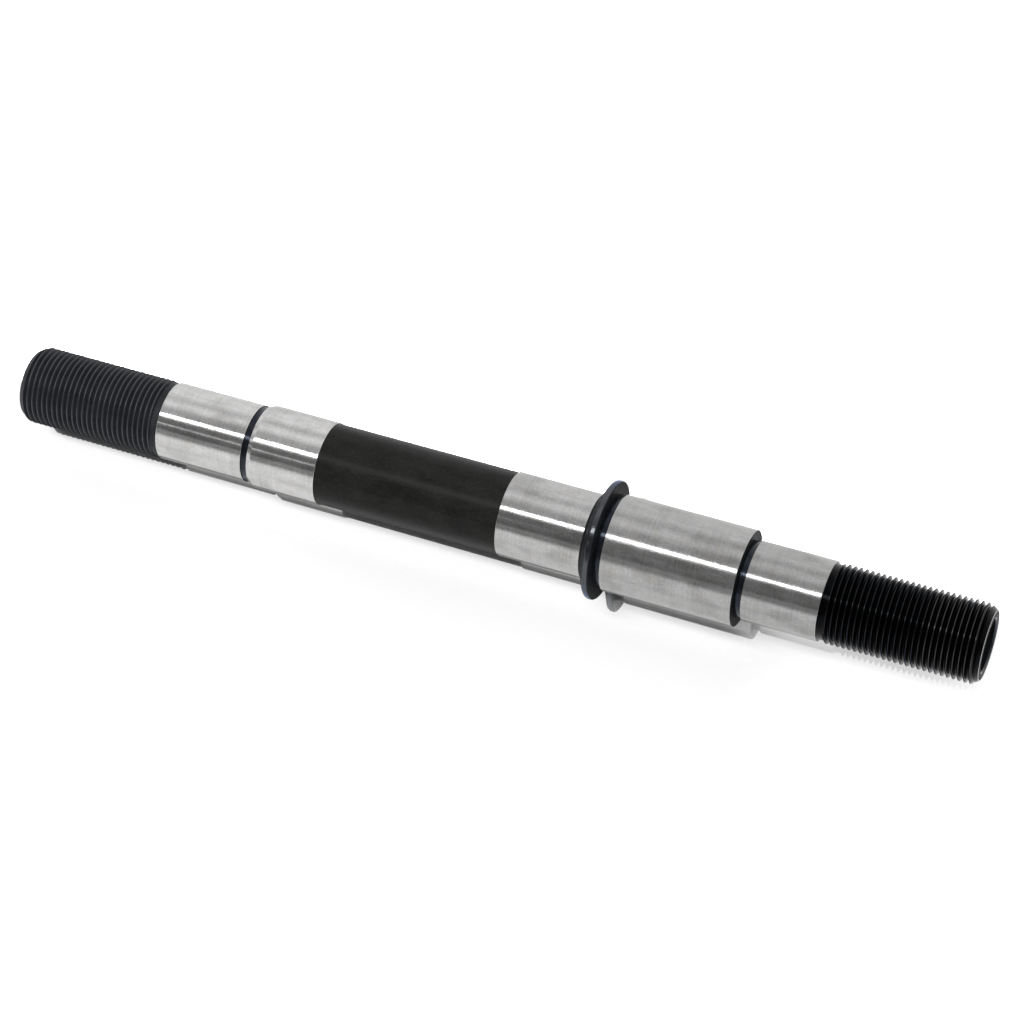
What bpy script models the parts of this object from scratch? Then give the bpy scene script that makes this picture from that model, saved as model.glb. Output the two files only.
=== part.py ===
"""Hollow axle for the rear hub of a small-wheeled bicycle.

The axle is one piece of steel, turned all along its length and bored through. It lies along X,
with the driven side towards +X, and its origin is on the axis at the middle of its length.
From left to right it has a threaded end, a seat, a groove, a bearing seat, a slimmer middle,
a second bearing seat, a collar, the thick seat of the driver, a last seat and a threaded end.
Both threads are right-hand and fine, 1 mm from crest to crest. They are cut into the turned bar
by a die, a ring whose inside is the thread.
"""

import math

import bmesh
import bpy

MM = 0.001

# Threaded ends, measured over the crests
THREAD_DIAMETER = 13.9 * MM
LEFT_THREAD_LENGTH = 27.5 * MM
RIGHT_THREAD_LENGTH = 27.75 * MM
END_CHAMFER_LENGTH = 1.3 * MM
END_CHAMFER_DEPTH = 0.9 * MM

# Both threads, and how far right of its plain band the right one has a crest on the +Y side
THREAD_PITCH = 1.0 * MM
THREAD_DEPTH = 0.61 * MM
FIRST_CREST = 0.087 * MM

# What the bar is left thicker by under a die, how far a die passes the bar's end,
# and how much wider a die is outside than inside
STOCK_FOR_DIE = 0.08 * MM
DIE_OVERRUN = 1.0 * MM
DIE_WIDTH_RATIO = 1.3

# Plain bands where the thread runs out beside the seats
LEFT_RUNOUT_WIDTH = 1.3 * MM
LEFT_RUNOUT_DEPTH = 0.2 * MM
RIGHT_RUNOUT_WIDTH = 1.2 * MM
RIGHT_RUNOUT_DEPTH = 0.4 * MM

# Left side, from the thread to the middle
LEFT_END_SEAT_DIAMETER = 14.0 * MM
LEFT_END_SEAT_LENGTH = 16.5 * MM
LEFT_GROOVE_WIDTH = 1.25 * MM
LEFT_GROOVE_DEPTH = 0.3 * MM
LEFT_BEARING_SEAT_DIAMETER = 15.0 * MM
LEFT_BEARING_SEAT_LENGTH = 13.0 * MM
LEAD_IN_LENGTH = 0.8 * MM
LEAD_IN_DEPTH = 0.35 * MM
MIDDLE_DIAMETER = 14.6 * MM
MIDDLE_LENGTH = 34.0 * MM

# Right side, from the middle to the thread
RIGHT_BEARING_SEAT_DIAMETER = 15.0 * MM
RIGHT_BEARING_SEAT_LENGTH = 15.6 * MM
COLLAR_DIAMETER = 21.0 * MM
COLLAR_FLANK_LENGTH = 1.4 * MM
COLLAR_LAND_LENGTH = 1.1 * MM
COLLAR_EDGE_ROUND = 0.4 * MM
COLLAR_GROOVE_WIDTH = 1.3 * MM
COLLAR_GROOVE_DEPTH = 0.3 * MM
DRIVER_SEAT_DIAMETER = 17.0 * MM
DRIVER_SEAT_LENGTH = 23.4 * MM
STEP_GROOVE_WIDTH = 1.25 * MM
STEP_GROOVE_DEPTH = 0.3 * MM
RIGHT_END_SEAT_DIAMETER = 14.0 * MM
RIGHT_END_SEAT_LENGTH = 13.25 * MM

# How far both of these grooves reach under the face beside them
FACE_UNDERCUT = 0.1 * MM

# Bore from end to end
BORE_DIAMETER = 9.2 * MM
BORE_CHAMFER = 0.25 * MM

# How finely the round shapes are divided
FACETS = 32
ARC_STEPS = 4
MERGE_DISTANCE = 0.001 * MM
SHARP_EDGE_ANGLE = math.radians(25)

SECTION_LENGTHS = (
    LEFT_THREAD_LENGTH,
    LEFT_END_SEAT_LENGTH,
    LEFT_GROOVE_WIDTH,
    LEFT_BEARING_SEAT_LENGTH,
    MIDDLE_LENGTH,
    RIGHT_BEARING_SEAT_LENGTH,
    COLLAR_FLANK_LENGTH,
    COLLAR_LAND_LENGTH,
    COLLAR_GROOVE_WIDTH,
    DRIVER_SEAT_LENGTH,
    STEP_GROOVE_WIDTH,
    RIGHT_END_SEAT_LENGTH,
    RIGHT_THREAD_LENGTH,
)
TOTAL_LENGTH = sum(SECTION_LENGTHS)


class TurnedOutline:
    """The outside of the bar, walked from left to right as a lathe tool would pass it."""

    def __init__(self, along, radius):
        self.along = along
        self.corners = [(along, radius)]
        self.ground_spans = []

    def shoulder(self, radius):
        """A square step in or out to the given radius."""
        self.corners.append((self.along, radius))

    def taper(self, length, radius):
        """A cone that reaches the given radius after the given length."""
        self.along += length
        self.corners.append((self.along, radius))

    def straight(self, length):
        """A cylinder that goes on at the radius of the last corner."""
        self.taper(length, self.corners[-1][1])

    def ground(self, length):
        """A cylinder that is ground bright after the blackening."""
        self.ground_spans.append((self.along, self.along + length))
        self.straight(length)

    def groove(self, width, radius):
        """A square groove whose far side is left to the next step."""
        self.shoulder(radius)
        self.straight(width)

    def stop_face(self, seat_radius, groove_width, groove_depth):
        """A square face that stops a ring on the next seat, with a groove undercut at its foot."""
        self.shoulder(seat_radius)
        self.corners.append((self.along - FACE_UNDERCUT, seat_radius - groove_depth))
        self.straight(groove_width)

    def rounded_crest(self, length, radius, rounding):
        """A cone that ends on a cylinder, with the corner between them rounded."""
        start_along, start_radius = self.corners[-1]
        slope = math.atan2(radius - start_radius, length)
        inset = rounding * math.tan(slope / 2)
        centre_along = start_along + length + inset
        centre_radius = radius - rounding
        for step in range(ARC_STEPS + 1):
            angle = slope * (1 - step / ARC_STEPS)
            corner_along = centre_along - rounding * math.sin(angle)
            corner_radius = centre_radius + rounding * math.cos(angle)
            self.corners.append((corner_along, corner_radius))
        self.along = start_along + length


def end_face_radius(diameter, bore_radius):
    """Outer radius of an end face, whose chamfer takes at most half of the wall."""
    wall = diameter / 2 - bore_radius
    return diameter / 2 - min(END_CHAMFER_DEPTH, wall / 2)


def outside():
    """The outline of the outside, with each seat, groove and shoulder at its place."""
    bore_radius = BORE_DIAMETER / 2
    thread_radius = THREAD_DIAMETER / 2
    face_radius = end_face_radius(THREAD_DIAMETER, bore_radius)
    lead_in_radius = LEFT_BEARING_SEAT_DIAMETER / 2 - LEAD_IN_DEPTH
    left_groove_side = min(LEFT_END_SEAT_DIAMETER / 2, lead_in_radius)

    blank_radius = thread_radius + STOCK_FOR_DIE
    blank_chamfer = END_CHAMFER_LENGTH * (blank_radius - face_radius) / (thread_radius - face_radius)

    outline = TurnedOutline(-TOTAL_LENGTH / 2, face_radius)
    outline.taper(blank_chamfer, blank_radius)
    outline.straight(LEFT_THREAD_LENGTH - blank_chamfer - LEFT_RUNOUT_WIDTH)
    outline.groove(LEFT_RUNOUT_WIDTH, thread_radius - LEFT_RUNOUT_DEPTH)

    outline.shoulder(LEFT_END_SEAT_DIAMETER / 2)
    outline.ground(LEFT_END_SEAT_LENGTH)
    outline.groove(LEFT_GROOVE_WIDTH, left_groove_side - LEFT_GROOVE_DEPTH)

    outline.shoulder(lead_in_radius)
    outline.taper(LEAD_IN_LENGTH, LEFT_BEARING_SEAT_DIAMETER / 2)
    outline.ground(LEFT_BEARING_SEAT_LENGTH - LEAD_IN_LENGTH)

    outline.shoulder(MIDDLE_DIAMETER / 2)
    outline.straight(MIDDLE_LENGTH)

    outline.shoulder(RIGHT_BEARING_SEAT_DIAMETER / 2)
    outline.ground(RIGHT_BEARING_SEAT_LENGTH)

    outline.rounded_crest(COLLAR_FLANK_LENGTH, COLLAR_DIAMETER / 2, COLLAR_EDGE_ROUND)
    outline.straight(COLLAR_LAND_LENGTH)
    outline.stop_face(DRIVER_SEAT_DIAMETER / 2, COLLAR_GROOVE_WIDTH, COLLAR_GROOVE_DEPTH)

    outline.shoulder(DRIVER_SEAT_DIAMETER / 2)
    outline.ground(DRIVER_SEAT_LENGTH)
    outline.stop_face(RIGHT_END_SEAT_DIAMETER / 2, STEP_GROOVE_WIDTH, STEP_GROOVE_DEPTH)

    outline.shoulder(RIGHT_END_SEAT_DIAMETER / 2)
    outline.ground(RIGHT_END_SEAT_LENGTH)

    outline.groove(RIGHT_RUNOUT_WIDTH, thread_radius - RIGHT_RUNOUT_DEPTH)
    outline.shoulder(blank_radius)
    outline.straight(RIGHT_THREAD_LENGTH - RIGHT_RUNOUT_WIDTH - blank_chamfer)
    outline.taper(blank_chamfer, face_radius)
    return outline


def bore():
    """Corners of the bore, from the left mouth to the right one."""
    bore_radius = BORE_DIAMETER / 2
    face_width = end_face_radius(THREAD_DIAMETER, bore_radius) - bore_radius
    chamfer = min(BORE_CHAMFER, face_width / 2)
    half_length = TOTAL_LENGTH / 2
    return [
        (-half_length, bore_radius + chamfer),
        (-half_length + chamfer, bore_radius),
        (half_length - chamfer, bore_radius),
        (half_length, bore_radius + chamfer),
    ]


def clear_scene():
    for scene_object in list(bpy.data.objects):
        bpy.data.objects.remove(scene_object, do_unlink=True)


def steel(name, colour, roughness):
    """A steel finish with its colour and roughness."""
    material = bpy.data.materials.new(name)
    material.use_nodes = True
    material.diffuse_color = (*colour, 1)
    shader = material.node_tree.nodes["Principled BSDF"]
    shader.inputs["Base Color"].default_value = (*colour, 1)
    shader.inputs["Metallic"].default_value = 1
    shader.inputs["Roughness"].default_value = roughness
    return material


def profile_mesh(corners, closed=True):
    """A line of edges, half a facet round, so that a flat and not an edge is underneath."""
    half_facet = math.pi / FACETS
    vertices = [
        (radius * math.cos(half_facet), radius * math.sin(half_facet), along)
        for along, radius in corners
    ]
    edge_count = len(corners) if closed else len(corners) - 1
    edges = [(index, (index + 1) % len(corners)) for index in range(edge_count)]
    mesh = bpy.data.meshes.new("axle_profile")
    mesh.from_pydata(vertices, edges, [])
    return mesh


def keep_modified(piece):
    """Makes what the modifiers show the mesh of the object itself."""
    depsgraph = bpy.context.evaluated_depsgraph_get()
    solid = bpy.data.meshes.new_from_object(piece.evaluated_get(depsgraph))
    piece.modifiers.clear()
    piece.data = solid


def spin(piece, offset=0.0, turns=1):
    """Spins a profile about Z, moving it along by the offset in each turn."""
    screw = piece.modifiers.new("spun", "SCREW")
    screw.axis = "Z"
    screw.angle = math.tau
    screw.screw_offset = offset
    screw.iterations = turns
    screw.steps = FACETS
    screw.render_steps = FACETS
    screw.use_merge_vertices = offset == 0
    screw.merge_threshold = MERGE_DISTANCE
    keep_modified(piece)


def close_into_ring(mesh, start, end):
    """Cuts a helix square at both ends, and closes it round the outside."""
    helix = bmesh.new()
    helix.from_mesh(mesh)
    bmesh.ops.remove_doubles(helix, verts=helix.verts, dist=MERGE_DISTANCE)
    for along, at_start in ((start, True), (end, False)):
        bmesh.ops.bisect_plane(
            helix,
            geom=[*helix.verts, *helix.edges, *helix.faces],
            plane_co=(0, 0, along),
            plane_no=(0, 0, 1),
            clear_inner=at_start,
            clear_outer=not at_start,
        )
    rims = [edge for edge in helix.edges if edge.is_boundary]
    wider = bmesh.ops.extrude_edge_only(helix, edges=rims)["geom"]
    outer_points = [item for item in wider if isinstance(item, bmesh.types.BMVert)]
    bmesh.ops.scale(helix, vec=(DIE_WIDTH_RATIO, DIE_WIDTH_RATIO, 1), verts=outer_points)
    outer_rims = [edge for edge in helix.edges if edge.is_boundary]
    bmesh.ops.bridge_loops(helix, edges=outer_rims)
    bmesh.ops.recalc_face_normals(helix, faces=helix.faces)
    helix.to_mesh(mesh)
    helix.free()


def crest_before(along):
    """A place before the given one where both threads' common helix has a crest on the profile."""
    right_runout_end = TOTAL_LENGTH / 2 - RIGHT_THREAD_LENGTH + RIGHT_RUNOUT_WIDTH
    profile_to_y_side = (math.pi / 2 - math.pi / FACETS) / math.tau
    crest = right_runout_end + FIRST_CREST - THREAD_PITCH * profile_to_y_side
    return crest - THREAD_PITCH * (math.ceil((crest - along) / THREAD_PITCH) + 1)


def thread_die(collection, start, end):
    """A ring between two places along the axle, whose inside is the thread."""
    crest = crest_before(start)
    crest_radius = THREAD_DIAMETER / 2
    root_radius = crest_radius - THREAD_DEPTH
    tooth = [
        (crest - THREAD_PITCH / 2, root_radius),
        (crest, crest_radius),
        (crest + THREAD_PITCH / 2, root_radius),
    ]
    die = bpy.data.objects.new("thread_die", profile_mesh(tooth, closed=False))
    collection.objects.link(die)
    spin(die, THREAD_PITCH, math.ceil((end - crest) / THREAD_PITCH) + 1)
    close_into_ring(die.data, start, end)
    return die


def merge_slivers(mesh):
    """Takes away the hair-thin faces that a cut leaves where it meets another face."""
    solid = bmesh.new()
    solid.from_mesh(mesh)
    bmesh.ops.remove_doubles(solid, verts=solid.verts, dist=MERGE_DISTANCE)
    bmesh.ops.dissolve_degenerate(solid, dist=MERGE_DISTANCE, edges=solid.edges)
    solid.to_mesh(mesh)
    solid.free()


def cut_thread(axle, collection, start, end):
    """Cuts the thread between two places along the axle, and throws the die away."""
    die = thread_die(collection, start, end)
    cut = axle.modifiers.new("thread", "BOOLEAN")
    cut.operation = "DIFFERENCE"
    cut.solver = "MANIFOLD"
    cut.object = die
    keep_modified(axle)
    bpy.data.objects.remove(die, do_unlink=True)


def cut_both_threads(axle, collection):
    """Cuts a thread at each end, from the plain band beside the seat to past the end face."""
    half_length = TOTAL_LENGTH / 2
    left_thread_end = LEFT_THREAD_LENGTH - LEFT_RUNOUT_WIDTH - half_length
    right_thread_start = half_length - RIGHT_THREAD_LENGTH + RIGHT_RUNOUT_WIDTH
    cut_thread(axle, collection, -half_length - DIE_OVERRUN, left_thread_end)
    cut_thread(axle, collection, right_thread_start, half_length + DIE_OVERRUN)
    merge_slivers(axle.data)


def finish_surfaces(axle, ground_spans):
    """Blackens the whole axle, then gives the seats their ground finish."""
    mesh = axle.data
    mesh.materials.clear()
    mesh.materials.append(steel("black_oxide", (0.025, 0.026, 0.03), 0.45))
    mesh.materials.append(steel("ground_steel", (0.58, 0.58, 0.57), 0.25))
    bore_limit = BORE_DIAMETER / 2 + BORE_CHAMFER
    for face in mesh.polygons:
        radius = math.hypot(face.center.x, face.center.y)
        on_seat = any(start < face.center.z < end for start, end in ground_spans)
        face.material_index = int(on_seat and radius > bore_limit)
    mesh.shade_smooth()
    mesh.set_sharp_from_angle(angle=SHARP_EDGE_ANGLE)


def build_axle(collection):
    outline = outside()
    loop = list(reversed(outline.corners)) + bore()
    axle = bpy.data.objects.new("hub_axle", profile_mesh(loop))
    collection.objects.link(axle)
    spin(axle)
    cut_both_threads(axle, collection)
    finish_surfaces(axle, outline.ground_spans)
    axle.rotation_euler = (0, math.pi / 2, 0)
    return axle


def main():
    clear_scene()
    collection = bpy.data.collections.new("hub axle")
    bpy.context.scene.collection.children.link(collection)
    build_axle(collection)


main()
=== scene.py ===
# %% [markdown]
# # A hollow hub axle, turned, threaded, blackened and ground
#
# The real part is a bicycle's rear hub axle. It starts as a bar in a lathe. The outside is turned
# to its steps, the bar is bored through, a die cuts a fine thread on each end, the whole piece is
# blackened in a hot oxide bath, and last a grinding wheel takes the black off the seats where the
# bearings and the driver fit. This script makes it in the same order.
#
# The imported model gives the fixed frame. It is loaded first, and everything after is made round it.

# %% The frame
import math

import bpy
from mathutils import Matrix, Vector


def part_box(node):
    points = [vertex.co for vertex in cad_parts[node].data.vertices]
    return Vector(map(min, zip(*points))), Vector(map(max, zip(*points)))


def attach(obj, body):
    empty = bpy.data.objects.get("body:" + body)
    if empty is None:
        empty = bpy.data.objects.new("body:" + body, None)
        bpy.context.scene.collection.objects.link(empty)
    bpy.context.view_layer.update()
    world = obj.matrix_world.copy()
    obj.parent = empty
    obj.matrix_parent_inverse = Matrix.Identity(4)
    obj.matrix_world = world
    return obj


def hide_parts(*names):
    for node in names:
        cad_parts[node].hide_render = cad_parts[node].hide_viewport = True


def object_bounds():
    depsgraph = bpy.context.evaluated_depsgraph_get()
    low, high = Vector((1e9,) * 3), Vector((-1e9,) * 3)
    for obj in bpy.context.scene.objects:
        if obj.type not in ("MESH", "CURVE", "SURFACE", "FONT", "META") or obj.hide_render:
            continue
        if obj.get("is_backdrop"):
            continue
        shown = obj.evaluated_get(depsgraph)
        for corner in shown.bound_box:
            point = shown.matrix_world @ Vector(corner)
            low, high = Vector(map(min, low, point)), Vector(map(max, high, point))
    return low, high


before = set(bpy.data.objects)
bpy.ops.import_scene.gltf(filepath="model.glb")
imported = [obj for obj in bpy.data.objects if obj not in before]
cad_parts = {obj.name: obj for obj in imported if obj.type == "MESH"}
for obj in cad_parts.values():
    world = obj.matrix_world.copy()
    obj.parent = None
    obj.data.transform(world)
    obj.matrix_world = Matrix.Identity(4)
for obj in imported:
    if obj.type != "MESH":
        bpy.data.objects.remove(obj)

cad_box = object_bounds()
axle_low, axle_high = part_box("hub_axle")
print("the frame is", [round(side * 1000, 2) for side in axle_high - axle_low], "mm")

# %% [markdown]
# Sizes are real ones, in millimetres. The places of the steps along the axle are sums of the
# lengths between them, so one length can be changed and the rest moves along. Sizes across are
# radii, because a lathe works from the middle.

# %% Places along the axle
MM = 0.001

LEFT_END = axle_low.x / MM
RIGHT_END = axle_high.x / MM
LEFT_SEAT_START = LEFT_END + 27.5
LEFT_SEAT_END = LEFT_SEAT_START + 16.5
LEFT_BEARING_START = LEFT_SEAT_END + 1.25
MIDDLE_START = LEFT_BEARING_START + 13.0
RIGHT_BEARING_START = MIDDLE_START + 34.0
COLLAR_START = RIGHT_BEARING_START + 15.6
COLLAR_LAND_START = COLLAR_START + 1.4
COLLAR_END = COLLAR_LAND_START + 1.1
DRIVER_START = COLLAR_END + 1.3
DRIVER_END = DRIVER_START + 23.4
RIGHT_SEAT_START = DRIVER_END + 1.25
RIGHT_SEAT_END = RIGHT_SEAT_START + 13.25
LEFT_THREAD_END = LEFT_SEAT_START - 1.3
RIGHT_THREAD_START = RIGHT_SEAT_END + 1.2
print("the collar is from", round(COLLAR_START, 2), "to", round(COLLAR_END, 2), "mm")

# %% Radii of the axle
THREAD = 6.95
END_SEAT = 7.0
BEARING_SEAT = 7.5
MIDDLE = 7.3
COLLAR = 10.5
DRIVER_SEAT = 8.5
GROOVE_DEPTH = 0.3
LEFT_RUNOUT = 6.75
RIGHT_RUNOUT = 6.55
END_FACE = 6.05
BORE = 4.6
print("the wall is", round(THREAD - BORE, 2), "mm thick at the threads")


# %% [markdown]
# ## Turning the bar
#
# A lathe tool draws one line along the bar, and the turning bar makes it round. Blender's Spin
# does the same with a half-section. It could be built from a stack of cylinders, but then every
# step would be a seam. One line has none. It is drawn as by hand: a plane is merged to a single
# point, and the point is extruded again and again, each time to the next corner.

# %% Drawing with one point
CLOSE = 0.002


def only(piece):
    """Selects this piece alone, because operators act on all that is selected."""
    if bpy.context.mode != "OBJECT":
        bpy.ops.object.mode_set(mode="OBJECT")
    bpy.ops.object.select_all(action="DESELECT")
    piece.select_set(True)
    bpy.context.view_layer.objects.active = piece


def one_point(name, corner):
    """A new mesh of one point, left in edit mode. A corner is a place along and a radius."""
    bpy.ops.object.select_all(action="DESELECT")
    bpy.ops.mesh.primitive_plane_add(size=MM, location=(0, 0, 0))
    piece = bpy.context.object
    piece.name = piece.data.name = name
    bpy.ops.object.mode_set(mode="EDIT")
    bpy.ops.mesh.merge(type="CENTER")
    bpy.ops.transform.translate(value=(corner[0] * MM, 0, corner[1] * MM))
    return piece


def draw_through(corners):
    """Extrudes the selected point from the first corner on to each of the others."""
    for start, end in zip(corners, corners[1:]):
        step = ((end[0] - start[0]) * MM, 0, (end[1] - start[1]) * MM)
        bpy.ops.mesh.extrude_region_move(TRANSFORM_OT_translate={"value": step})


def select_corners(piece, corners):
    """Selects the points of the drawing that lie on these corners."""
    bpy.ops.object.mode_set(mode="OBJECT")
    bpy.ops.object.mode_set(mode="EDIT")
    bpy.ops.mesh.select_all(action="DESELECT")
    bpy.ops.object.mode_set(mode="OBJECT")
    for point in piece.data.vertices:
        place = (point.co.x / MM, point.co.z / MM)
        point.select = any(math.dist(place, corner) < CLOSE for corner in corners)
    bpy.ops.object.mode_set(mode="EDIT")


def round_corners(piece, corners, reach, steps):
    """Rounds these corners of the drawing, from this far before each to as far after."""
    select_corners(piece, corners)
    bpy.ops.mesh.bevel(offset=reach * MM, offset_type="OFFSET", segments=steps, affect="VERTICES")


print("points within", CLOSE, "mm of a corner are taken as that corner")

# %% [markdown]
# The outside is drawn from the left end face to the right one, and the bore is drawn on the way
# back. Beside each ground seat there is a narrow groove: it lets the grinding wheel run out, and
# a ring on the seat then meets a square face. On the right two grooves are also cut a little
# under the face. Where the threads come, the bar is left a hair thicker, for the die to cut.

# %% Corners of the half-section
LEFT_FOR_DIE = 0.06
END_CHAMFER = 1.3
LEAD_IN = (0.8, 0.35)
UNDERCUT = 0.1
BORE_CHAMFER = 0.25

BLANK = THREAD + LEFT_FOR_DIE
CHAMFER_LENGTH = END_CHAMFER * (BLANK - END_FACE) / (THREAD - END_FACE)

ground_ends = [
    (LEFT_SEAT_START, END_SEAT),
    (LEFT_SEAT_END, END_SEAT),
    (LEFT_BEARING_START + LEAD_IN[0], BEARING_SEAT),
    (MIDDLE_START, BEARING_SEAT),
    (RIGHT_BEARING_START, BEARING_SEAT),
    (DRIVER_START, DRIVER_SEAT),
    (DRIVER_END, DRIVER_SEAT),
    (RIGHT_SEAT_START, END_SEAT),
    (RIGHT_SEAT_END, END_SEAT),
]
groove_corners = [
    (LEFT_THREAD_END, LEFT_RUNOUT),
    (LEFT_SEAT_START, LEFT_RUNOUT),
    (LEFT_SEAT_END, END_SEAT - GROOVE_DEPTH),
    (LEFT_BEARING_START, END_SEAT - GROOVE_DEPTH),
    (COLLAR_END - UNDERCUT, DRIVER_SEAT - GROOVE_DEPTH),
    (DRIVER_START, DRIVER_SEAT - GROOVE_DEPTH),
    (DRIVER_END - UNDERCUT, END_SEAT - GROOVE_DEPTH),
    (RIGHT_SEAT_START, END_SEAT - GROOVE_DEPTH),
    (RIGHT_SEAT_END, RIGHT_RUNOUT),
    (RIGHT_THREAD_START, RIGHT_RUNOUT),
]
collar_foot = (COLLAR_START, BEARING_SEAT)
collar_left_edge = (COLLAR_LAND_START, COLLAR)
collar_right_edge = (COLLAR_END, COLLAR)
end_edges = [(LEFT_END, END_FACE), (RIGHT_END, END_FACE)]

outside = [
    end_edges[0],
    (LEFT_END + CHAMFER_LENGTH, BLANK),
    (LEFT_THREAD_END, BLANK),
    *groove_corners[0:2],
    *ground_ends[0:2],
    *groove_corners[2:4],
    (LEFT_BEARING_START, BEARING_SEAT - LEAD_IN[1]),
    *ground_ends[2:4],
    (MIDDLE_START, MIDDLE),
    (RIGHT_BEARING_START, MIDDLE),
    ground_ends[4],
    collar_foot,
    collar_left_edge,
    collar_right_edge,
    (COLLAR_END, DRIVER_SEAT),
    *groove_corners[4:6],
    *ground_ends[5:7],
    (DRIVER_END, END_SEAT),
    *groove_corners[6:8],
    *ground_ends[7:9],
    *groove_corners[8:10],
    (RIGHT_THREAD_START, BLANK),
    (RIGHT_END - CHAMFER_LENGTH, BLANK),
    end_edges[1],
]
bore = [
    (RIGHT_END, BORE + BORE_CHAMFER),
    (RIGHT_END - BORE_CHAMFER, BORE),
    (LEFT_END + BORE_CHAMFER, BORE),
    (LEFT_END, BORE + BORE_CHAMFER),
]
print("the half-section has", len(outside) + len(bore), "corners")

# %% The half-section
axle = one_point("axle", outside[0])
draw_through(outside + bore)
select_corners(axle, [outside[0], bore[-1]])
bpy.ops.mesh.edge_face_add()
print("drawn, it has", len(axle.data.vertices), "points")

# %% [markdown]
# No edge on a turned part is left sharp. A tenth of a millimetre comes off each, and that narrow
# round is what catches the light as a fine pale line. The collar has a larger round on its left
# edge. Inner corners keep the round of the tool's tip. Bevel does all this on the drawing, where
# it costs a few points, and the spin then carries each round about the axle.

# %% Breaking the edges
COLLAR_LEFT_ROUND = 0.45
COLLAR_RIGHT_ROUND = 0.3
COLLAR_FOOT_ROUND = 0.25
SEAT_ROUND = 0.1
TOOL_TIP_ROUND = 0.12
END_ROUND = 0.08

round_corners(axle, [collar_left_edge], COLLAR_LEFT_ROUND, 5)
round_corners(axle, [collar_right_edge], COLLAR_RIGHT_ROUND, 4)
round_corners(axle, [collar_foot], COLLAR_FOOT_ROUND, 4)
round_corners(axle, ground_ends, SEAT_ROUND, 3)
round_corners(axle, groove_corners, TOOL_TIP_ROUND, 2)
round_corners(axle, end_edges, END_ROUND, 2)
axle.update_from_editmode()
print("with its edges broken it has", len(axle.data.vertices), "points")

# %% The spin
FACETS = 96
MERGED_WITHIN = 0.001

bpy.ops.mesh.select_all(action="SELECT")
bpy.ops.mesh.spin(steps=FACETS, angle=math.tau, center=(0, 0, 0), axis=(1, 0, 0))
bpy.ops.mesh.select_all(action="SELECT")
bpy.ops.mesh.remove_doubles(threshold=MERGED_WITHIN * MM)
bpy.ops.mesh.normals_make_consistent(inside=False)
bpy.ops.object.mode_set(mode="OBJECT")
print("the turned bar has", len(axle.data.polygons), "faces")

# %% [markdown]
# ## Cutting the threads
#
# The threads are fine, 14 mm across and 1 mm from crest to crest. At this size they can't be left
# to a bump, because they show at the outline. A die is a ring whose inside is the thread. Its
# section is a zigzag of 60 degrees with the crests and roots rounded, and the Screw modifier winds
# it into a right-hand helix. Cutting with a die, and not modelling the thread itself, lets the
# end chamfer and the run-out bands shorten the teeth by themselves, as they do on the real part.

# %% A die
PITCH = 1.0
RING_WALL = 1.3
SHARP_HEIGHT = PITCH * math.sqrt(3) / 2
SHARP_CREST = THREAD + SHARP_HEIGHT / 8
SHARP_ROOT = SHARP_CREST - SHARP_HEIGHT
CREST_ROUND = SHARP_HEIGHT / 8 * math.sqrt(3)
ROOT_ROUND = SHARP_HEIGHT / 6 * math.sqrt(3)


def tooth_die(name, crest, turns):
    """One pitch of the thread's section, from flank to flank, wound up into a helix."""
    half_way = (SHARP_CREST + SHARP_ROOT) / 2
    tip = (crest, SHARP_CREST)
    foot = (crest + PITCH / 2, SHARP_ROOT)
    corners = [(crest - PITCH / 4, half_way), tip, foot, (crest + PITCH * 3 / 4, half_way)]
    die = one_point(name, corners[0])
    draw_through(corners)
    round_corners(die, [tip], CREST_ROUND, 5)
    round_corners(die, [foot], ROOT_ROUND, 4)
    bpy.ops.object.mode_set(mode="OBJECT")
    helix = die.modifiers.new("helix", "SCREW")
    helix.axis = "X"
    helix.screw_offset = PITCH * MM
    helix.iterations = turns
    helix.steps = helix.render_steps = FACETS
    bpy.ops.object.modifier_apply(modifier=helix.name)
    bpy.ops.object.mode_set(mode="EDIT")
    bpy.ops.mesh.select_all(action="SELECT")
    bpy.ops.mesh.remove_doubles(threshold=MERGED_WITHIN * MM)
    return die


def close_die(die, start, end):
    """Cuts the helix square at both ends, and closes it round the outside into a ring."""
    for place, at_start in ((start, True), (end, False)):
        bpy.ops.mesh.select_all(action="SELECT")
        bpy.ops.mesh.bisect(
            plane_co=(place * MM, 0, 0),
            plane_no=(1, 0, 0),
            clear_inner=at_start,
            clear_outer=not at_start,
        )
    bpy.ops.mesh.select_all(action="DESELECT")
    bpy.ops.mesh.select_non_manifold(
        use_wire=False, use_multi_face=False, use_non_contiguous=False, use_verts=False
    )
    bpy.ops.mesh.extrude_region_move()
    bpy.ops.transform.resize(value=(1, RING_WALL, RING_WALL), center_override=(0, 0, 0))
    bpy.ops.mesh.bridge_edge_loops()
    bpy.ops.mesh.select_all(action="SELECT")
    bpy.ops.mesh.normals_make_consistent(inside=False)
    bpy.ops.object.mode_set(mode="OBJECT")


print("a crest is rounded over", round(2 * CREST_ROUND, 3), "mm")

# %% Both threads
CREST_PLACE = RIGHT_THREAD_START + 0.087
SPARE_TURNS = 2
RUN_PAST = 1.0
INTO_BAND = 0.03


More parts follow.
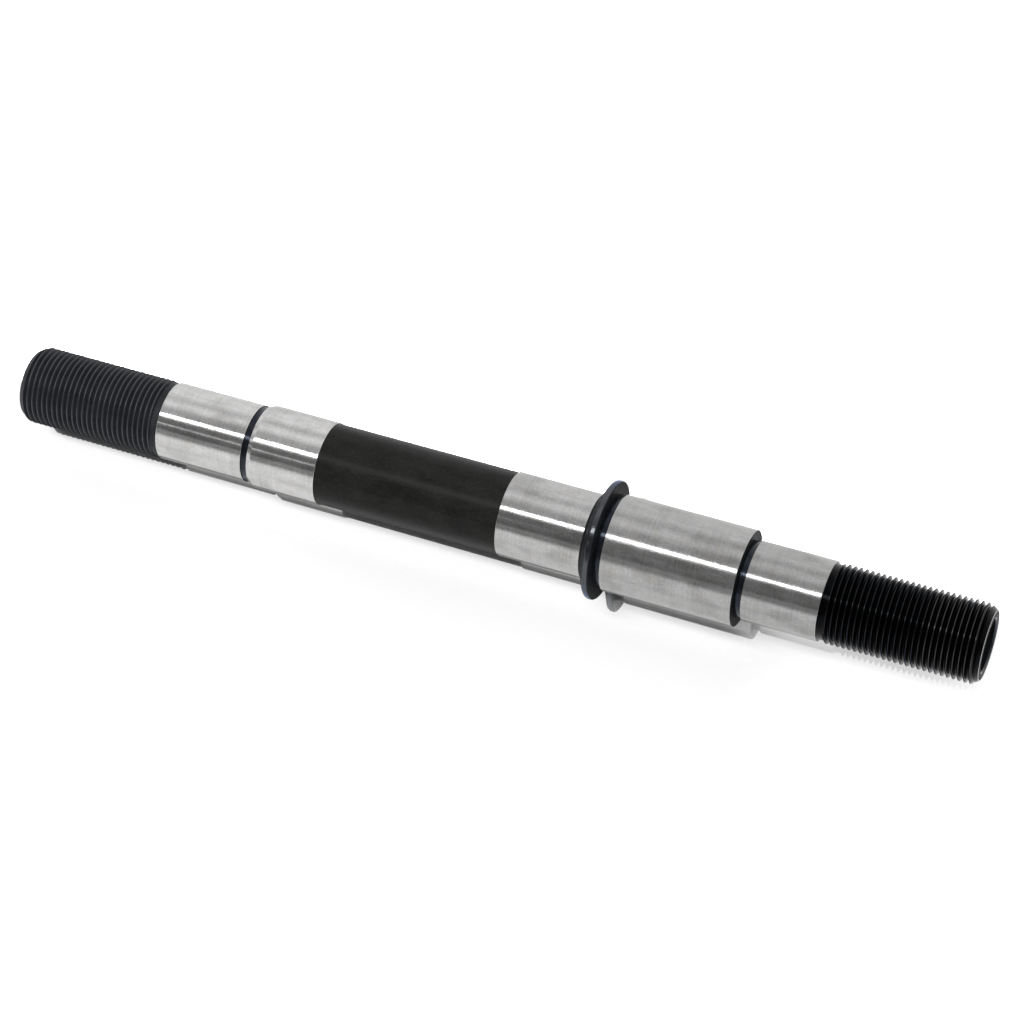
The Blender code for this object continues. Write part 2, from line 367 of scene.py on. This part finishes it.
def cut_thread(name, start, end):
    """Cuts this stretch of the bar with a die that is made for it, and throws the die away."""
    first_crest = CREST_PLACE - (math.ceil((CREST_PLACE - start) / PITCH) + SPARE_TURNS) * PITCH
    turns = math.ceil((end - first_crest) / PITCH) + SPARE_TURNS
    die = tooth_die(name, first_crest, turns)
    close_die(die, start, end)
    only(axle)
    cut = axle.modifiers.new("thread", "BOOLEAN")
    cut.operation = "DIFFERENCE"
    cut.solver = "MANIFOLD"
    cut.object = die
    bpy.ops.object.modifier_apply(modifier=cut.name)
    bpy.data.objects.remove(die)
    print("after", name, "the axle has", len(axle.data.polygons), "faces")


cut_thread("left_die", LEFT_END - RUN_PAST, LEFT_THREAD_END + INTO_BAND)
cut_thread("right_die", RIGHT_THREAD_START - INTO_BAND, RIGHT_END + RUN_PAST)

# %% [markdown]
# Smooth shading blends the direction of each face with its neighbours'. Beside a narrow round that
# would tip the whole length of a seat, and bend the stripes of light on it. With Weighted Normal
# the large faces win, so the seats stay straight and only the rounds turn.

# %% Smooth and sharp
SHARP_FROM = 32

only(axle)
bpy.ops.object.shade_smooth_by_angle(angle=math.radians(SHARP_FROM))
straighten = axle.modifiers.new("straighten", "WEIGHTED_NORMAL")
straighten.mode = "FACE_AREA"
straighten.weight = 100
straighten.keep_sharp = True
bpy.ops.object.modifier_apply(modifier=straighten.name)
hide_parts("hub_axle")
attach(axle, "root")
print("the axle has", sum(len(f.vertices) - 2 for f in axle.data.polygons), "triangles")


# %% [markdown]
# ## Shader sums in plain Python
#
# A finish is a sum of patterns. Written with nodes one by one, such a sum can't be read. A small
# class wraps a socket, and each operator on it adds the Math node that does that sum. Every other
# node comes from one method, which takes its type, its settings and its inputs.

# %% A value
class Value:
    """A number or vector in a node tree, for use in Python expressions."""

    def __init__(self, graph, socket):
        self.graph = graph
        self.socket = socket

    def _math(self, operation, *terms):
        return self.graph.node("ShaderNodeMath", {"operation": operation}, dict(enumerate(terms)))

    def __add__(self, other):
        return self._math("ADD", self, other)

    def __sub__(self, other):
        return self._math("SUBTRACT", self, other)

    def __rsub__(self, other):
        return self._math("SUBTRACT", other, self)

    def __mul__(self, other):
        return self._math("MULTIPLY", self, other)

    def __truediv__(self, other):
        return self._math("DIVIDE", self, other)

    def __pow__(self, other):
        return self._math("POWER", self, other)

    __radd__ = __add__
    __rmul__ = __mul__

    def output(self, name):
        """Another output of the same node."""
        return Value(self.graph, self.socket.node.outputs[name])

    def between(self, low, high, blur):
        """1 from low to high and 0 outside, with edges that are this much blurred."""
        return self.above(low, blur) * (1 - self.above(high, blur))

    def above(self, limit, blur):
        """0 below the limit and 1 above it, with an edge that is this much blurred."""
        return self.graph.node(
            "ShaderNodeMapRange",
            {"interpolation_type": "SMOOTHSTEP"},
            {"Value": self, "From Min": limit - blur, "From Max": limit + blur},
        )


print("sums on values become Math nodes")


# %% A graph
class Graph:
    """A node tree that hands out its nodes as values."""

    def __init__(self, owner):
        owner.use_nodes = True
        self.tree = owner.node_tree
        self.tree.nodes.clear()

    def node(self, kind, settings=None, inputs=None, output=0):
        """Adds a node, sets it up, fills or links its inputs, and gives one of its outputs."""
        node = self.tree.nodes.new(kind)
        for name, setting in (settings or {}).items():
            if name == "stops":
                self.set_stops(node.color_ramp, setting)
            else:
                setattr(node, name, setting)
        for name, value in (inputs or {}).items():
            if isinstance(value, Value):
                self.tree.links.new(value.socket, node.inputs[name])
            else:
                node.inputs[name].default_value = value
        return Value(self, node.outputs[output]) if node.outputs else None

    @staticmethod
    def set_stops(ramp, stops):
        while len(ramp.elements) < len(stops):
            ramp.elements.new(0.5)
        for element, (place, colour) in zip(ramp.elements, stops):
            element.position = place
            element.color = (*colour, 1)

    def mix(self, share, first, second):
        """A colour on its way from the first to the second."""
        # A Mix node has a pair of inputs for each kind of data, and 6 and 7 are the colours
        colours = {0: share, 6: first, 7: second}
        return self.node("ShaderNodeMix", {"data_type": "RGBA"}, colours, output=2)

    def noise(self, place, stretch, detail=2.0, rough=0.5):
        """Noise from 0 to 1 whose grains are as long, in mm, as stretch says along X, Y and Z."""
        scale = tuple(1 / (length * MM) for length in stretch)
        scaled = self.node("ShaderNodeVectorMath", {"operation": "MULTIPLY"}, {0: place, 1: scale})
        kinds = {"Vector": scaled, "Scale": 1.0, "Detail": detail, "Roughness": rough}
        return self.node("ShaderNodeTexNoise", {"noise_dimensions": "3D"}, kinds)


print("a graph hands out its nodes as values")

# %% [markdown]
# ## The blackened surfaces
#
# Hot black oxide turns the outermost micrometre of the steel to magnetite. It isn't paint, so it
# has no thickness to model: turning marks and knocks show through it. It is slightly brown where
# it is thin, and oil left on it makes it deeper and glossier. The crests of the threads and the
# rim of the collar rub against other parts, so there it is worn to dull bare steel. The radius
# tells where that is. Every finish starts the same way, so a second class adds the Principled
# shader and the place on the axle to a graph.

# %% A finish
class Finish(Graph):
    """A material for the axle, with its shader and the place on the axle."""

    def __init__(self, name, metallic, specular):
        self.material = bpy.data.materials.new(name)
        super().__init__(self.material)
        constants = {"Metallic": metallic, "Specular IOR Level": specular}
        shader = self.node("ShaderNodeBsdfPrincipled", None, constants)
        self.node("ShaderNodeOutputMaterial", None, {"Surface": shader})
        self.sockets = shader.socket.node.inputs
        self.place = self.node("ShaderNodeTexCoord", output="Object")

    def feed(self, name, value):
        """Links a value to one of the shader's sockets."""
        self.tree.links.new(value.socket, self.sockets[name])

    def bumps(self, height, micrometres):
        """The normal of a surface whose heights go from 0 to this many micrometres."""
        inputs = {"Height": height, "Distance": micrometres * MM * MM}
        return self.node("ShaderNodeBump", None, inputs)


def grey(level, warmth=0.0):
    """A grey of this brightness. Warmth moves it towards brown, and below 0 towards blue."""
    return (level * (1 + warmth), level * (1 + warmth / 3), level * (1 - warmth), 1)


print("a brownish grey is", [round(part, 4) for part in grey(0.02, 0.04)])

# %% Black oxide
DULL_METAL = grey(0.06)
ROOT_SHADE_BELOW, ROOT_SHADE_BLUR = THREAD - 0.16, 0.12
WEAR_BLUR = 0.03
TIP_START, TIP_BLUR = 78.5, 0.6


def black_oxide(
    name, dark, light, roughness, specular, tint, worn_above=COLLAR, worn=DULL_METAL, tip=None
):
    """Blackened steel in soft clouds from dark to light.

    Outside the radius worn_above it is worn to bare steel, which may be of another grey at the
    tip of the right end.
    """
    black = Finish(name, 0.0, specular)
    black.sockets["Specular Tint"].default_value = tint
    clouds = black.noise(black.place, (5.0, 2.0, 2.0), 4.0)
    specks = black.noise(black.place, (0.5, 0.35, 0.35))
    grain = black.noise(black.place, (0.4, 0.3, 0.3), 3.0)
    share = clouds.above(0.5, 0.2) * 0.5 + specks.above(0.6, 0.12) * 0.5
    along = black.node("ShaderNodeSeparateXYZ", None, {"Vector": black.place})
    across, up = along.output("Y"), along.output("Z")
    radius = (across * across + up * up) ** 0.5
    # Painted shade: below the crest radius the blackened colour gets darker, down the flanks and in
    # the roots of a thread, in the grooves and in the bore.
    crest = radius.above(ROOT_SHADE_BELOW * MM, ROOT_SHADE_BLUR * MM)
    blackened = black.mix(share * (crest * 0.7 + 0.3), dark, light)
    bare = radius.above(worn_above * MM, WEAR_BLUR * MM)
    metal = black.mix(along.above(TIP_START * MM, TIP_BLUR * MM), worn, tip or worn)
    black.feed("Base Color", black.mix(bare, blackened, metal))
    black.feed("Metallic", bare)
    black.feed("Roughness", (clouds - 0.5) * 0.12 + (specks - 0.5) * 0.14 + roughness)
    black.feed("Normal", black.bumps(grain, 10.0))
    return black.material


print("the right thread's tip is of another grey from", TIP_START, "mm on")

# %% The blacks
CREST_WEAR = THREAD - 0.05
RIM_WEAR = COLLAR - 0.06

satin_black = black_oxide(
    "satin_black",
    dark=grey(0.025, -0.1),
    light=grey(0.080, -0.1),
    roughness=0.38,
    specular=0.12,
    tint=grey(0.6, -0.05),
    worn_above=CREST_WEAR,
    worn=grey(0.11, -0.05),
)
brown_black = black_oxide(
    "brown_black",
    dark=grey(0.011, 0.04),
    light=grey(0.026, 0.02),
    roughness=0.31,
    specular=0.10,
    tint=grey(0.97),
)
oily_black = black_oxide(
    "oily_black",
    dark=grey(0.0008, -0.1),
    light=grey(0.003, -0.1),
    roughness=0.13,
    specular=0.14,
    tint=grey(0.35, -0.1),
    worn_above=CREST_WEAR,
    worn=grey(0.025, -0.1),
    tip=grey(0.055),
)
blue_black = black_oxide(
    "blue_black",
    dark=grey(0.005, -0.2),
    light=grey(0.014, -0.2),
    roughness=0.13,
    specular=0.42,
    tint=grey(0.85, -0.2),
    worn_above=RIM_WEAR,
    worn=grey(0.10, -0.06),
)
face_black = black_oxide(
    "face_black",
    dark=grey(0.010, -0.1),
    light=grey(0.026, -0.1),
    roughness=0.45,
    specular=0.04,
    tint=grey(0.9),
)
blacks = (satin_black, brown_black, oily_black, blue_black, face_black)
print("the blacks are", [black.name for black in blacks])

# %% [markdown]
# ## The ground seats
#
# Cylindrical grinding leaves fine rings round a seat. They can't be told apart from here, but they
# make its shine a little uneven, and the edge of every reflection ragged. Handling leaves soft
# clouds, and a broad patch or two where the wheel took off less. All of that is in one metal whose
# reflectance, roughness and height follow noises of different grain.

# %% Ground steel
def ground_steel(name, level, roughness, haze):
    """Bare steel from the grinding wheel, around this reflectance, with a share of dull haze."""
    darker, lighter, oiled = grey(level * 0.62, 0.01), grey(level * 1.22), grey(level * 0.85, 0.10)
    steel = Finish(name, 1.0, 0.5)
    clouds = steel.noise(steel.place, (3.0, 1.5, 1.5), 5.0, 0.6)
    patches = steel.noise(steel.place, (9.0, 4.0, 4.0), 1.0)
    streaks = steel.noise(steel.place, (9.0, 0.7, 0.7), 2.0)
    rings = steel.noise(steel.place, (0.35, 12.0, 12.0), 3.0)
    grain = steel.noise(steel.place, (0.4, 0.3, 0.3), 3.0)
    oil = steel.noise(steel.place, (1.6, 0.9, 0.9), 3.0)
    fine = (clouds - 0.5) * 0.85 + (streaks - 0.5) * 0.2 + (rings - 0.5) * 0.5 + (grain - 0.5) * 0.7
    share = fine - patches.above(0.58, 0.08) * 0.3 + 0.63
    dry = steel.mix(share, darker, lighter)
    steel.feed("Base Color", steel.mix(oil.above(0.58, 0.1) * 0.35, dry, oiled))
    steel.feed("Roughness", (clouds - 0.5) * 0.06 + (grain - 0.5) * 0.08 + roughness)
    steel.feed("Metallic", 1 - (clouds + 0.5) * haze)
    steel.feed("Normal", steel.bumps(grain + streaks * 0.3, 7.0))
    return steel.material


pale_steel = ground_steel("pale_steel", level=0.61, roughness=0.10, haze=0.02)
grey_steel = ground_steel("grey_steel", level=0.50, roughness=0.10, haze=0.03)
hazy_steel = ground_steel("hazy_steel", level=0.43, roughness=0.12, haze=0.12)
dull_steel = ground_steel("dull_steel", level=0.40, roughness=0.12, haze=0.10)
print("the steels are", [steel.name for steel in (pale_steel, grey_steel, hazy_steel, dull_steel)])


# %% [markdown]
# The whole axle is first given the blue black that is seen in the grooves and on the collar, and
# then each stretch gets its own finish. A face belongs to a stretch by the place and radius of its
# middle. So the rounds of a seat are ground with the seat, and the face beside it stays black.
# The shoulders, the collar's flank and the bore are duller, and a bare line is left round each
# end face.

# %% Painting the axle
def paint(material, start, end, inside=BORE + BORE_CHAMFER, outside=COLLAR):
    """Gives this finish to the faces between two places and two radii."""
    only(axle)
    axle.data.materials.append(material)
    bpy.ops.object.mode_set(mode="EDIT")
    bpy.ops.mesh.select_all(action="DESELECT")
    bpy.ops.object.mode_set(mode="OBJECT")
    count = 0
    for face in axle.data.polygons:
        along, across, up = face.center / MM
        radius = math.hypot(across, up)
        face.select = start < along < end and inside < radius < outside
        count += face.select
    bpy.ops.object.mode_set(mode="EDIT")
    axle.active_material_index = len(axle.data.materials) - 1
    bpy.ops.object.material_slot_assign()
    bpy.ops.object.mode_set(mode="OBJECT")
    print(material.name, "covers", count, "faces")


BEYOND = 1.0
HAIR = 0.01
SKIN = 0.005
SEAT_REACH = 0.12
LEAD_REACH = 0.3
NARROW_REACH = 0.1
FLANK_START = COLLAR_START - 0.26

axle.data.materials.clear()
paint(blue_black, LEFT_END - BEYOND, RIGHT_END + BEYOND, 0, COLLAR + BEYOND)
paint(satin_black, LEFT_END - BEYOND, LEFT_SEAT_START)
paint(pale_steel, LEFT_SEAT_START, LEFT_SEAT_END, END_SEAT - SEAT_REACH)
paint(pale_steel, LEFT_BEARING_START + SKIN, MIDDLE_START, BEARING_SEAT - LEAD_REACH)
paint(brown_black, MIDDLE_START, RIGHT_BEARING_START)
paint(grey_steel, RIGHT_BEARING_START, FLANK_START, BEARING_SEAT - NARROW_REACH)
paint(hazy_steel, DRIVER_START, DRIVER_END, DRIVER_SEAT - SEAT_REACH)
paint(dull_steel, RIGHT_SEAT_START, RIGHT_SEAT_END, END_SEAT - SEAT_REACH)
paint(oily_black, RIGHT_SEAT_END, RIGHT_END + BEYOND)

# %% Dull faces and bare edges
FACE_REACH = 0.15
GROOVE_REACH = 0.4
RIM_REACH = 0.2
BORE_REACH = 0.05
EDGE_DEPTH = 0.09

paint(face_black, LEFT_END + BORE_CHAMFER, RIGHT_END - BORE_CHAMFER, 0, BORE + BORE_REACH)
for end, foot, top in ((COLLAR_END, DRIVER_SEAT, COLLAR), (DRIVER_END, END_SEAT, DRIVER_SEAT)):
    paint(face_black, end - FACE_REACH, end + HAIR, foot - GROOVE_REACH, top - NARROW_REACH)
paint(face_black, FLANK_START, COLLAR_LAND_START, BEARING_SEAT, COLLAR - RIM_REACH)
paint(face_black, RIGHT_END - SKIN, RIGHT_END + HAIR)
paint(face_black, LEFT_END - HAIR, LEFT_END + SKIN)

edge = (END_FACE - NARROW_REACH, END_FACE + NARROW_REACH)
paint(dull_steel, RIGHT_END - EDGE_DEPTH, RIGHT_END - SKIN, *edge)
paint(dull_steel, LEFT_END + SKIN, LEFT_END + EDGE_DEPTH, *edge)

# %% [markdown]
# ## Unrolling the surface
#
# Other programs can't run these finishes, so for them the finishes would be baked into a picture,
# and that needs a map. An automatic unwrap would cut the threads into thousands of scraps. A lathe
# surface unrolls by itself: one way along its outline, the other way round its axis. The outside
# is cut into four strips at steps where a seam doesn't show, and each strip fills a quarter of the
# picture. The seams lie underneath, and the bore gets a narrow band at the top.

# %% Along the outline
SEEN_AS_BEFORE = 0.2


def outline_pieces():
    """Each straight piece of the outline, with its two corners and how far along it starts."""
    pieces, travelled = [], 0.0
    for start, end in zip(outside, outside[1:]):
        pieces.append((start, end, travelled))
        travelled += abs(end[0] - start[0]) + abs(end[1] - start[1])
    return pieces


def distance_along(pieces, along, radius):
    """How far along the outline the nearest point is, with steps counted up and down."""
    best = None
    for (x0, r0), (x1, r1), travelled in pieces:
        if not min(x0, x1) - SEEN_AS_BEFORE <= along <= max(x0, x1) + SEEN_AS_BEFORE:
            continue
        dx, dr = x1 - x0, r1 - r0
        share = ((along - x0) * dx + (radius - r0) * dr) / (dx * dx + dr * dr)
        share = min(max(share, 0.0), 1.0)
        miss = math.hypot(along - x0 - share * dx, radius - r0 - share * dr)
        if best is None or miss < best[0]:
            best = (miss, travelled + share * (abs(dx) + abs(dr)))
    return best[1]


print("the last chamfer starts", round(outline_pieces()[-1][2], 1), "mm along the outline")

# %% Strips in a picture
STRIP_STARTS = [LEFT_END, LEFT_BEARING_START, RIGHT_BEARING_START, DRIVER_END]
STRIP_CELL = (0.475, 0.445)
STRIP_STEP = (0.495, 0.465)
MARGIN = 0.01
BORE_BAND = (0.94, 0.05)
STRIP_SPAN = 52.0
NEARLY = 0.001


def unroll(piece):
    """Gives the piece a map of its strips."""
    pieces = outline_pieces()
    mesh = piece.data
    places = []
    for point in mesh.vertices:
        along, across, up = point.co / MM
        places.append((along, math.hypot(across, up), math.atan2(across, up)))
    lengths = []
    for along, radius, _ in places:
        lengths.append(distance_along(pieces, min(max(along, LEFT_END), RIGHT_END), radius))
    starts = []
    for strip_start in STRIP_STARTS:
        after = [n for place, n in zip(places, lengths) if place[0] >= strip_start - NEARLY]
        starts.append(min(after))
    flat = mesh.uv_layers.new(name="OFBake")
    for face in mesh.polygons:
        centre = face.center / MM
        middle_angle = math.atan2(centre.y, centre.z)
        in_bore = math.hypot(centre.y, centre.z) < BORE + BORE_CHAMFER
        strip = sum(centre.x > start - SEEN_AS_BEFORE for start in STRIP_STARTS[1:])
        column, row = strip % 2, strip // 2
        for loop in face.loop_indices:
            index = mesh.loops[loop].vertex_index
            turn = (places[index][2] - middle_angle + math.pi) % math.tau - math.pi
            around = (middle_angle + turn + math.pi) / math.tau
            if in_bore:
                across = (places[index][0] - LEFT_END) / (RIGHT_END - LEFT_END)
                spot = (MARGIN + across * (1 - 2 * MARGIN), BORE_BAND[0] + around * BORE_BAND[1])
            else:
                across = (lengths[index] - starts[strip]) / STRIP_SPAN
                spot = (
                    MARGIN + column * STRIP_STEP[0] + across * STRIP_CELL[0],
                    MARGIN + row * STRIP_STEP[1] + around * STRIP_CELL[1],
                )
            flat.data[loop].uv = spot
    print("the four strips start", [round(start, 1) for start in starts], "mm along the outline")


unroll(axle)

# %% [markdown]
# ## The studio
#
# Polished round bars show their surroundings as stripes along the bar, so the studio is described
# by how bright it is at each height, in degrees from the horizon behind the axle over the top to
# the horizon in front: a pale wall behind, two windows, the dark side where the camera stands,
# with a thin gap of light in it, and a bright wall in front. Only shiny surfaces see this. The
# backdrop is white for the camera, and matt surfaces get even light. A long softbox nearly
# overhead gives the fine bright line along the whole axle. The sizes of the softbox and of the
# white sheet are in metres.

# %% Brightness at each height
STUDIO = [
    (-30, 0.90),
    (5, 1.00),
    (26, 0.67),
    (43, 0.98),
    (50, 0.92),
    (63, 0.55),
    (78.5, 0.45),
    (81, 1.05),
    (89, 1.05),
    (91.5, 0.23),
    (100, 0.19),
    (115, 0.19),
    (124, 0.13),
    (131, 0.36),
    (137, 0.26),
    (142, 0.55),
    (146, 0.90),
    (153, 1.00),
    (180, 0.92),
]
EVEN_LIGHT = 0.68
GAP_FROM, GAP_TO, GAP_LIGHT = 107.6, 111.4, 0.6
GAP_END = -0.30
print("the studio has", len(STUDIO), "heights and a gap of", round(GAP_TO - GAP_FROM, 1), "degrees")

# %% The world
world = bpy.data.worlds.new("studio")
bpy.context.scene.world = world
world.cycles.sampling_method = "NONE"
air = Graph(world)
direction = air.node("ShaderNodeTexCoord", output="Generated")
ahead = air.node("ShaderNodeSeparateXYZ", None, {"Vector": direction})
sides = {0: ahead.output("Z"), 1: ahead.output("Y")}
degrees = air.node("ShaderNodeMath", {"operation": "ARCTAN2"}, sides) * (180 / math.pi)
lowest, highest = STUDIO[0][0], STUDIO[-1][0]
stops = [((angle - lowest) / (highest - lowest), (light, light, light)) for angle, light in STUDIO]
round_the_room = (degrees - lowest) / (highest - lowest)
walls = air.node("ShaderNodeValToRGB", {"stops": stops}, {"Fac": round_the_room})
gap = degrees.between(GAP_FROM, GAP_TO, 1.0) * (1 - ahead.above(GAP_END, 0.02)) * GAP_LIGHT
seen = air.node("ShaderNodeLightPath", output="Is Camera Ray")
mirrored = seen.output("Is Glossy Ray")
level = seen + (1 - seen) * (mirrored * (walls + gap) + (1 - mirrored) * EVEN_LIGHT)
light = air.node("ShaderNodeBackground", None, {"Color": grey(1.0), "Strength": level})
air.node("ShaderNodeOutputWorld", None, {"Surface": light})
print("shiny surfaces see the studio, and matt ones a light of", EVEN_LIGHT)

# %% The softbox
STRIP_LENGTH = 0.75
STRIP_WIDTH = 0.062
STRIP_DISTANCE = 0.6
STRIP_BRIGHTNESS = 7.0
STRIP_HEIGHT = 83.3
STRIP_ALONG = -0.17

strip_angle = math.radians(STRIP_HEIGHT)
strip_data = bpy.data.lights.new("strip_light", "AREA")
strip_data.shape = "RECTANGLE"
strip_data.size = STRIP_LENGTH
strip_data.size_y = STRIP_WIDTH
strip_data.energy = STRIP_BRIGHTNESS * math.pi * STRIP_LENGTH * STRIP_WIDTH
strip = bpy.data.objects.new("strip_light", strip_data)
bpy.context.scene.collection.objects.link(strip)
strip.location = (
    STRIP_ALONG,
    STRIP_DISTANCE * math.cos(strip_angle),
    STRIP_DISTANCE * math.sin(strip_angle),
)
strip.rotation_euler = (strip_angle - math.pi / 2, 0, 0)
strip.visible_camera = False
print("the softbox gives", round(strip_data.energy, 2), "W")

# %% [markdown]
# ## The sheet it lies on
#
# The axle lies on its collar and on the left end of its thread, so the sheet under it slopes by
# nearly two degrees against its axis. The sheet is white and glossy. Close to the axle it mirrors
# the underside, mostly sharply and partly in a soft haze. That haze is most of the soft grey
# shadow in the photo, and the sheet's matt part takes the rest. To the right, where the axle
# rises from the sheet, the mirror image fades. The sheet has a little light of its own, so that
# it comes out white beside the shadow without more light on the axle. Where that glow is stronger
# it is painted light: to the right it makes the shadow under the raised end paler, and behind
# the axle it whitens the shade beside it for the camera.

# %% The floor
REST_LEFT = (LEFT_END + 1.5, -THREAD)
REST_RIGHT = (COLLAR_END - COLLAR_RIGHT_ROUND, -COLLAR)
FLOOR_SLOPE = math.atan2(REST_LEFT[1] - REST_RIGHT[1], REST_RIGHT[0] - REST_LEFT[0])
FLOOR_GAP = 0.03
FLOOR_SIZE = 4

bpy.ops.object.select_all(action="DESELECT")
bpy.ops.mesh.primitive_plane_add(
    size=FLOOR_SIZE,
    location=(REST_RIGHT[0] * MM, 0, (REST_RIGHT[1] - FLOOR_GAP) * MM),
    rotation=(0, FLOOR_SLOPE, 0),
)
floor = bpy.context.object
floor.name = "floor"
floor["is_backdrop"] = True
print("the floor slopes by", round(math.degrees(FLOOR_SLOPE), 2), "degrees against the axle")

# %% The white sheet
MIRROR_FRONT, MIRROR_BACK = -0.0135, 0.009
MIRROR_START = -0.117
HALF_FADED, ALL_FADED = 0.027, 0.062
RISEN = 0.038
SHARP, HAZY = 0.02, 0.4
HAZE = 0.26
OWN_LIGHT, RISEN_LIGHT = 0.25, 0.28
CAMERA_LIGHT, BEHIND_LIGHT = 0.11, 0.12

white_sheet = bpy.data.materials.new("white_sheet")
sheet = Graph(white_sheet)
place = sheet.node("ShaderNodeTexCoord", output="Object")
along = sheet.node("ShaderNodeSeparateXYZ", None, {"Vector": place})
across = along.output("Y")
mirror = across.between(MIRROR_FRONT, MIRROR_BACK, 0.002) * along.above(MIRROR_START, 0.004)
fading = (1 - along.above(HALF_FADED, 0.007) * 0.65) * (1 - along.above(ALL_FADED, 0.010))
seen = sheet.node("ShaderNodeLightPath", output="Is Camera Ray")
either = {0: seen, 1: seen.output("Is Glossy Ray")}
lit = sheet.node("ShaderNodeMath", {"operation": "MAXIMUM"}, either)
# Painted light: the sheet's own glow is stronger behind the axle for the camera, which whitens the
# shade beside it there, and stronger to the right of RISEN, which makes the shadow under the raised
# end paler.
behind = across.above(0.008, 0.004)
for_all = along.above(RISEN, 0.015) * RISEN_LIGHT + OWN_LIGHT
for_camera = behind * BEHIND_LIGHT + CAMERA_LIGHT
strength = lit * for_all + seen * for_camera
glow = sheet.node("ShaderNodeEmission", None, {"Color": grey(1.0), "Strength": strength})
paper = sheet.node("ShaderNodeBsdfDiffuse", None, {"Color": grey(0.8)})
matt = sheet.node("ShaderNodeAddShader", None, {0: paper, 1: glow})
sharp = sheet.node("ShaderNodeBsdfGlossy", None, {"Color": grey(0.81), "Roughness": SHARP})
hazy = sheet.node("ShaderNodeBsdfGlossy", None, {"Color": grey(1.0), "Roughness": HAZY})
gloss = sheet.node("ShaderNodeMixShader", None, {0: HAZE, 1: sharp, 2: hazy})
both = sheet.node("ShaderNodeMixShader", None, {0: mirror * fading, 1: matt, 2: gloss})
sheet.node("ShaderNodeOutputMaterial", None, {"Surface": both})
floor.data.materials.append(white_sheet)
print("the sheet mirrors from", MIRROR_FRONT, "to", MIRROR_BACK, "m beside the axle")

# %% [markdown]
# ## The camera
#
# The photo looks down on the axle from half a metre, with a long lens, and with the axle lying
# across the frame at a slant. The slant is all in the roll of the camera about its own line of
# sight, because the axle stays level along X.

# %% The camera
CAMERA_PLACE = (154.94, -35.08, 524.68)
LOOKS_AT = (3.761, 0.355, 0.0)
ROLL = -60.86
LENS = 111.79

camera_data = bpy.data.cameras.new("camera")
camera = bpy.data.objects.new("camera", camera_data)
bpy.context.scene.collection.objects.link(camera)
bpy.context.scene.camera = camera
camera_data.lens = LENS
camera.location = Vector(CAMERA_PLACE) * MM
ahead_of_camera = Vector(LOOKS_AT) - Vector(CAMERA_PLACE)
camera.rotation_euler = ahead_of_camera.to_track_quat("-Z", "Y").to_euler()
camera.rotation_euler.rotate_axis("Z", math.radians(ROLL))
print("the camera is", round(ahead_of_camera.length), "mm away")

bpy.context.scene.view_settings.view_transform = "Standard"

# %% [markdown]
#
# The boxes of the imported model and of the finished axle are both printed, so that they can be
# compared after each render. The finished axle has to be as large as the imported model.

sizes = {"cad": cad_box, "visual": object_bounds()}
for name, (low, high) in sizes.items():
    print("the", name, "box is", [round((b - a) / MM, 2) for a, b in zip(low, high)], "mm")
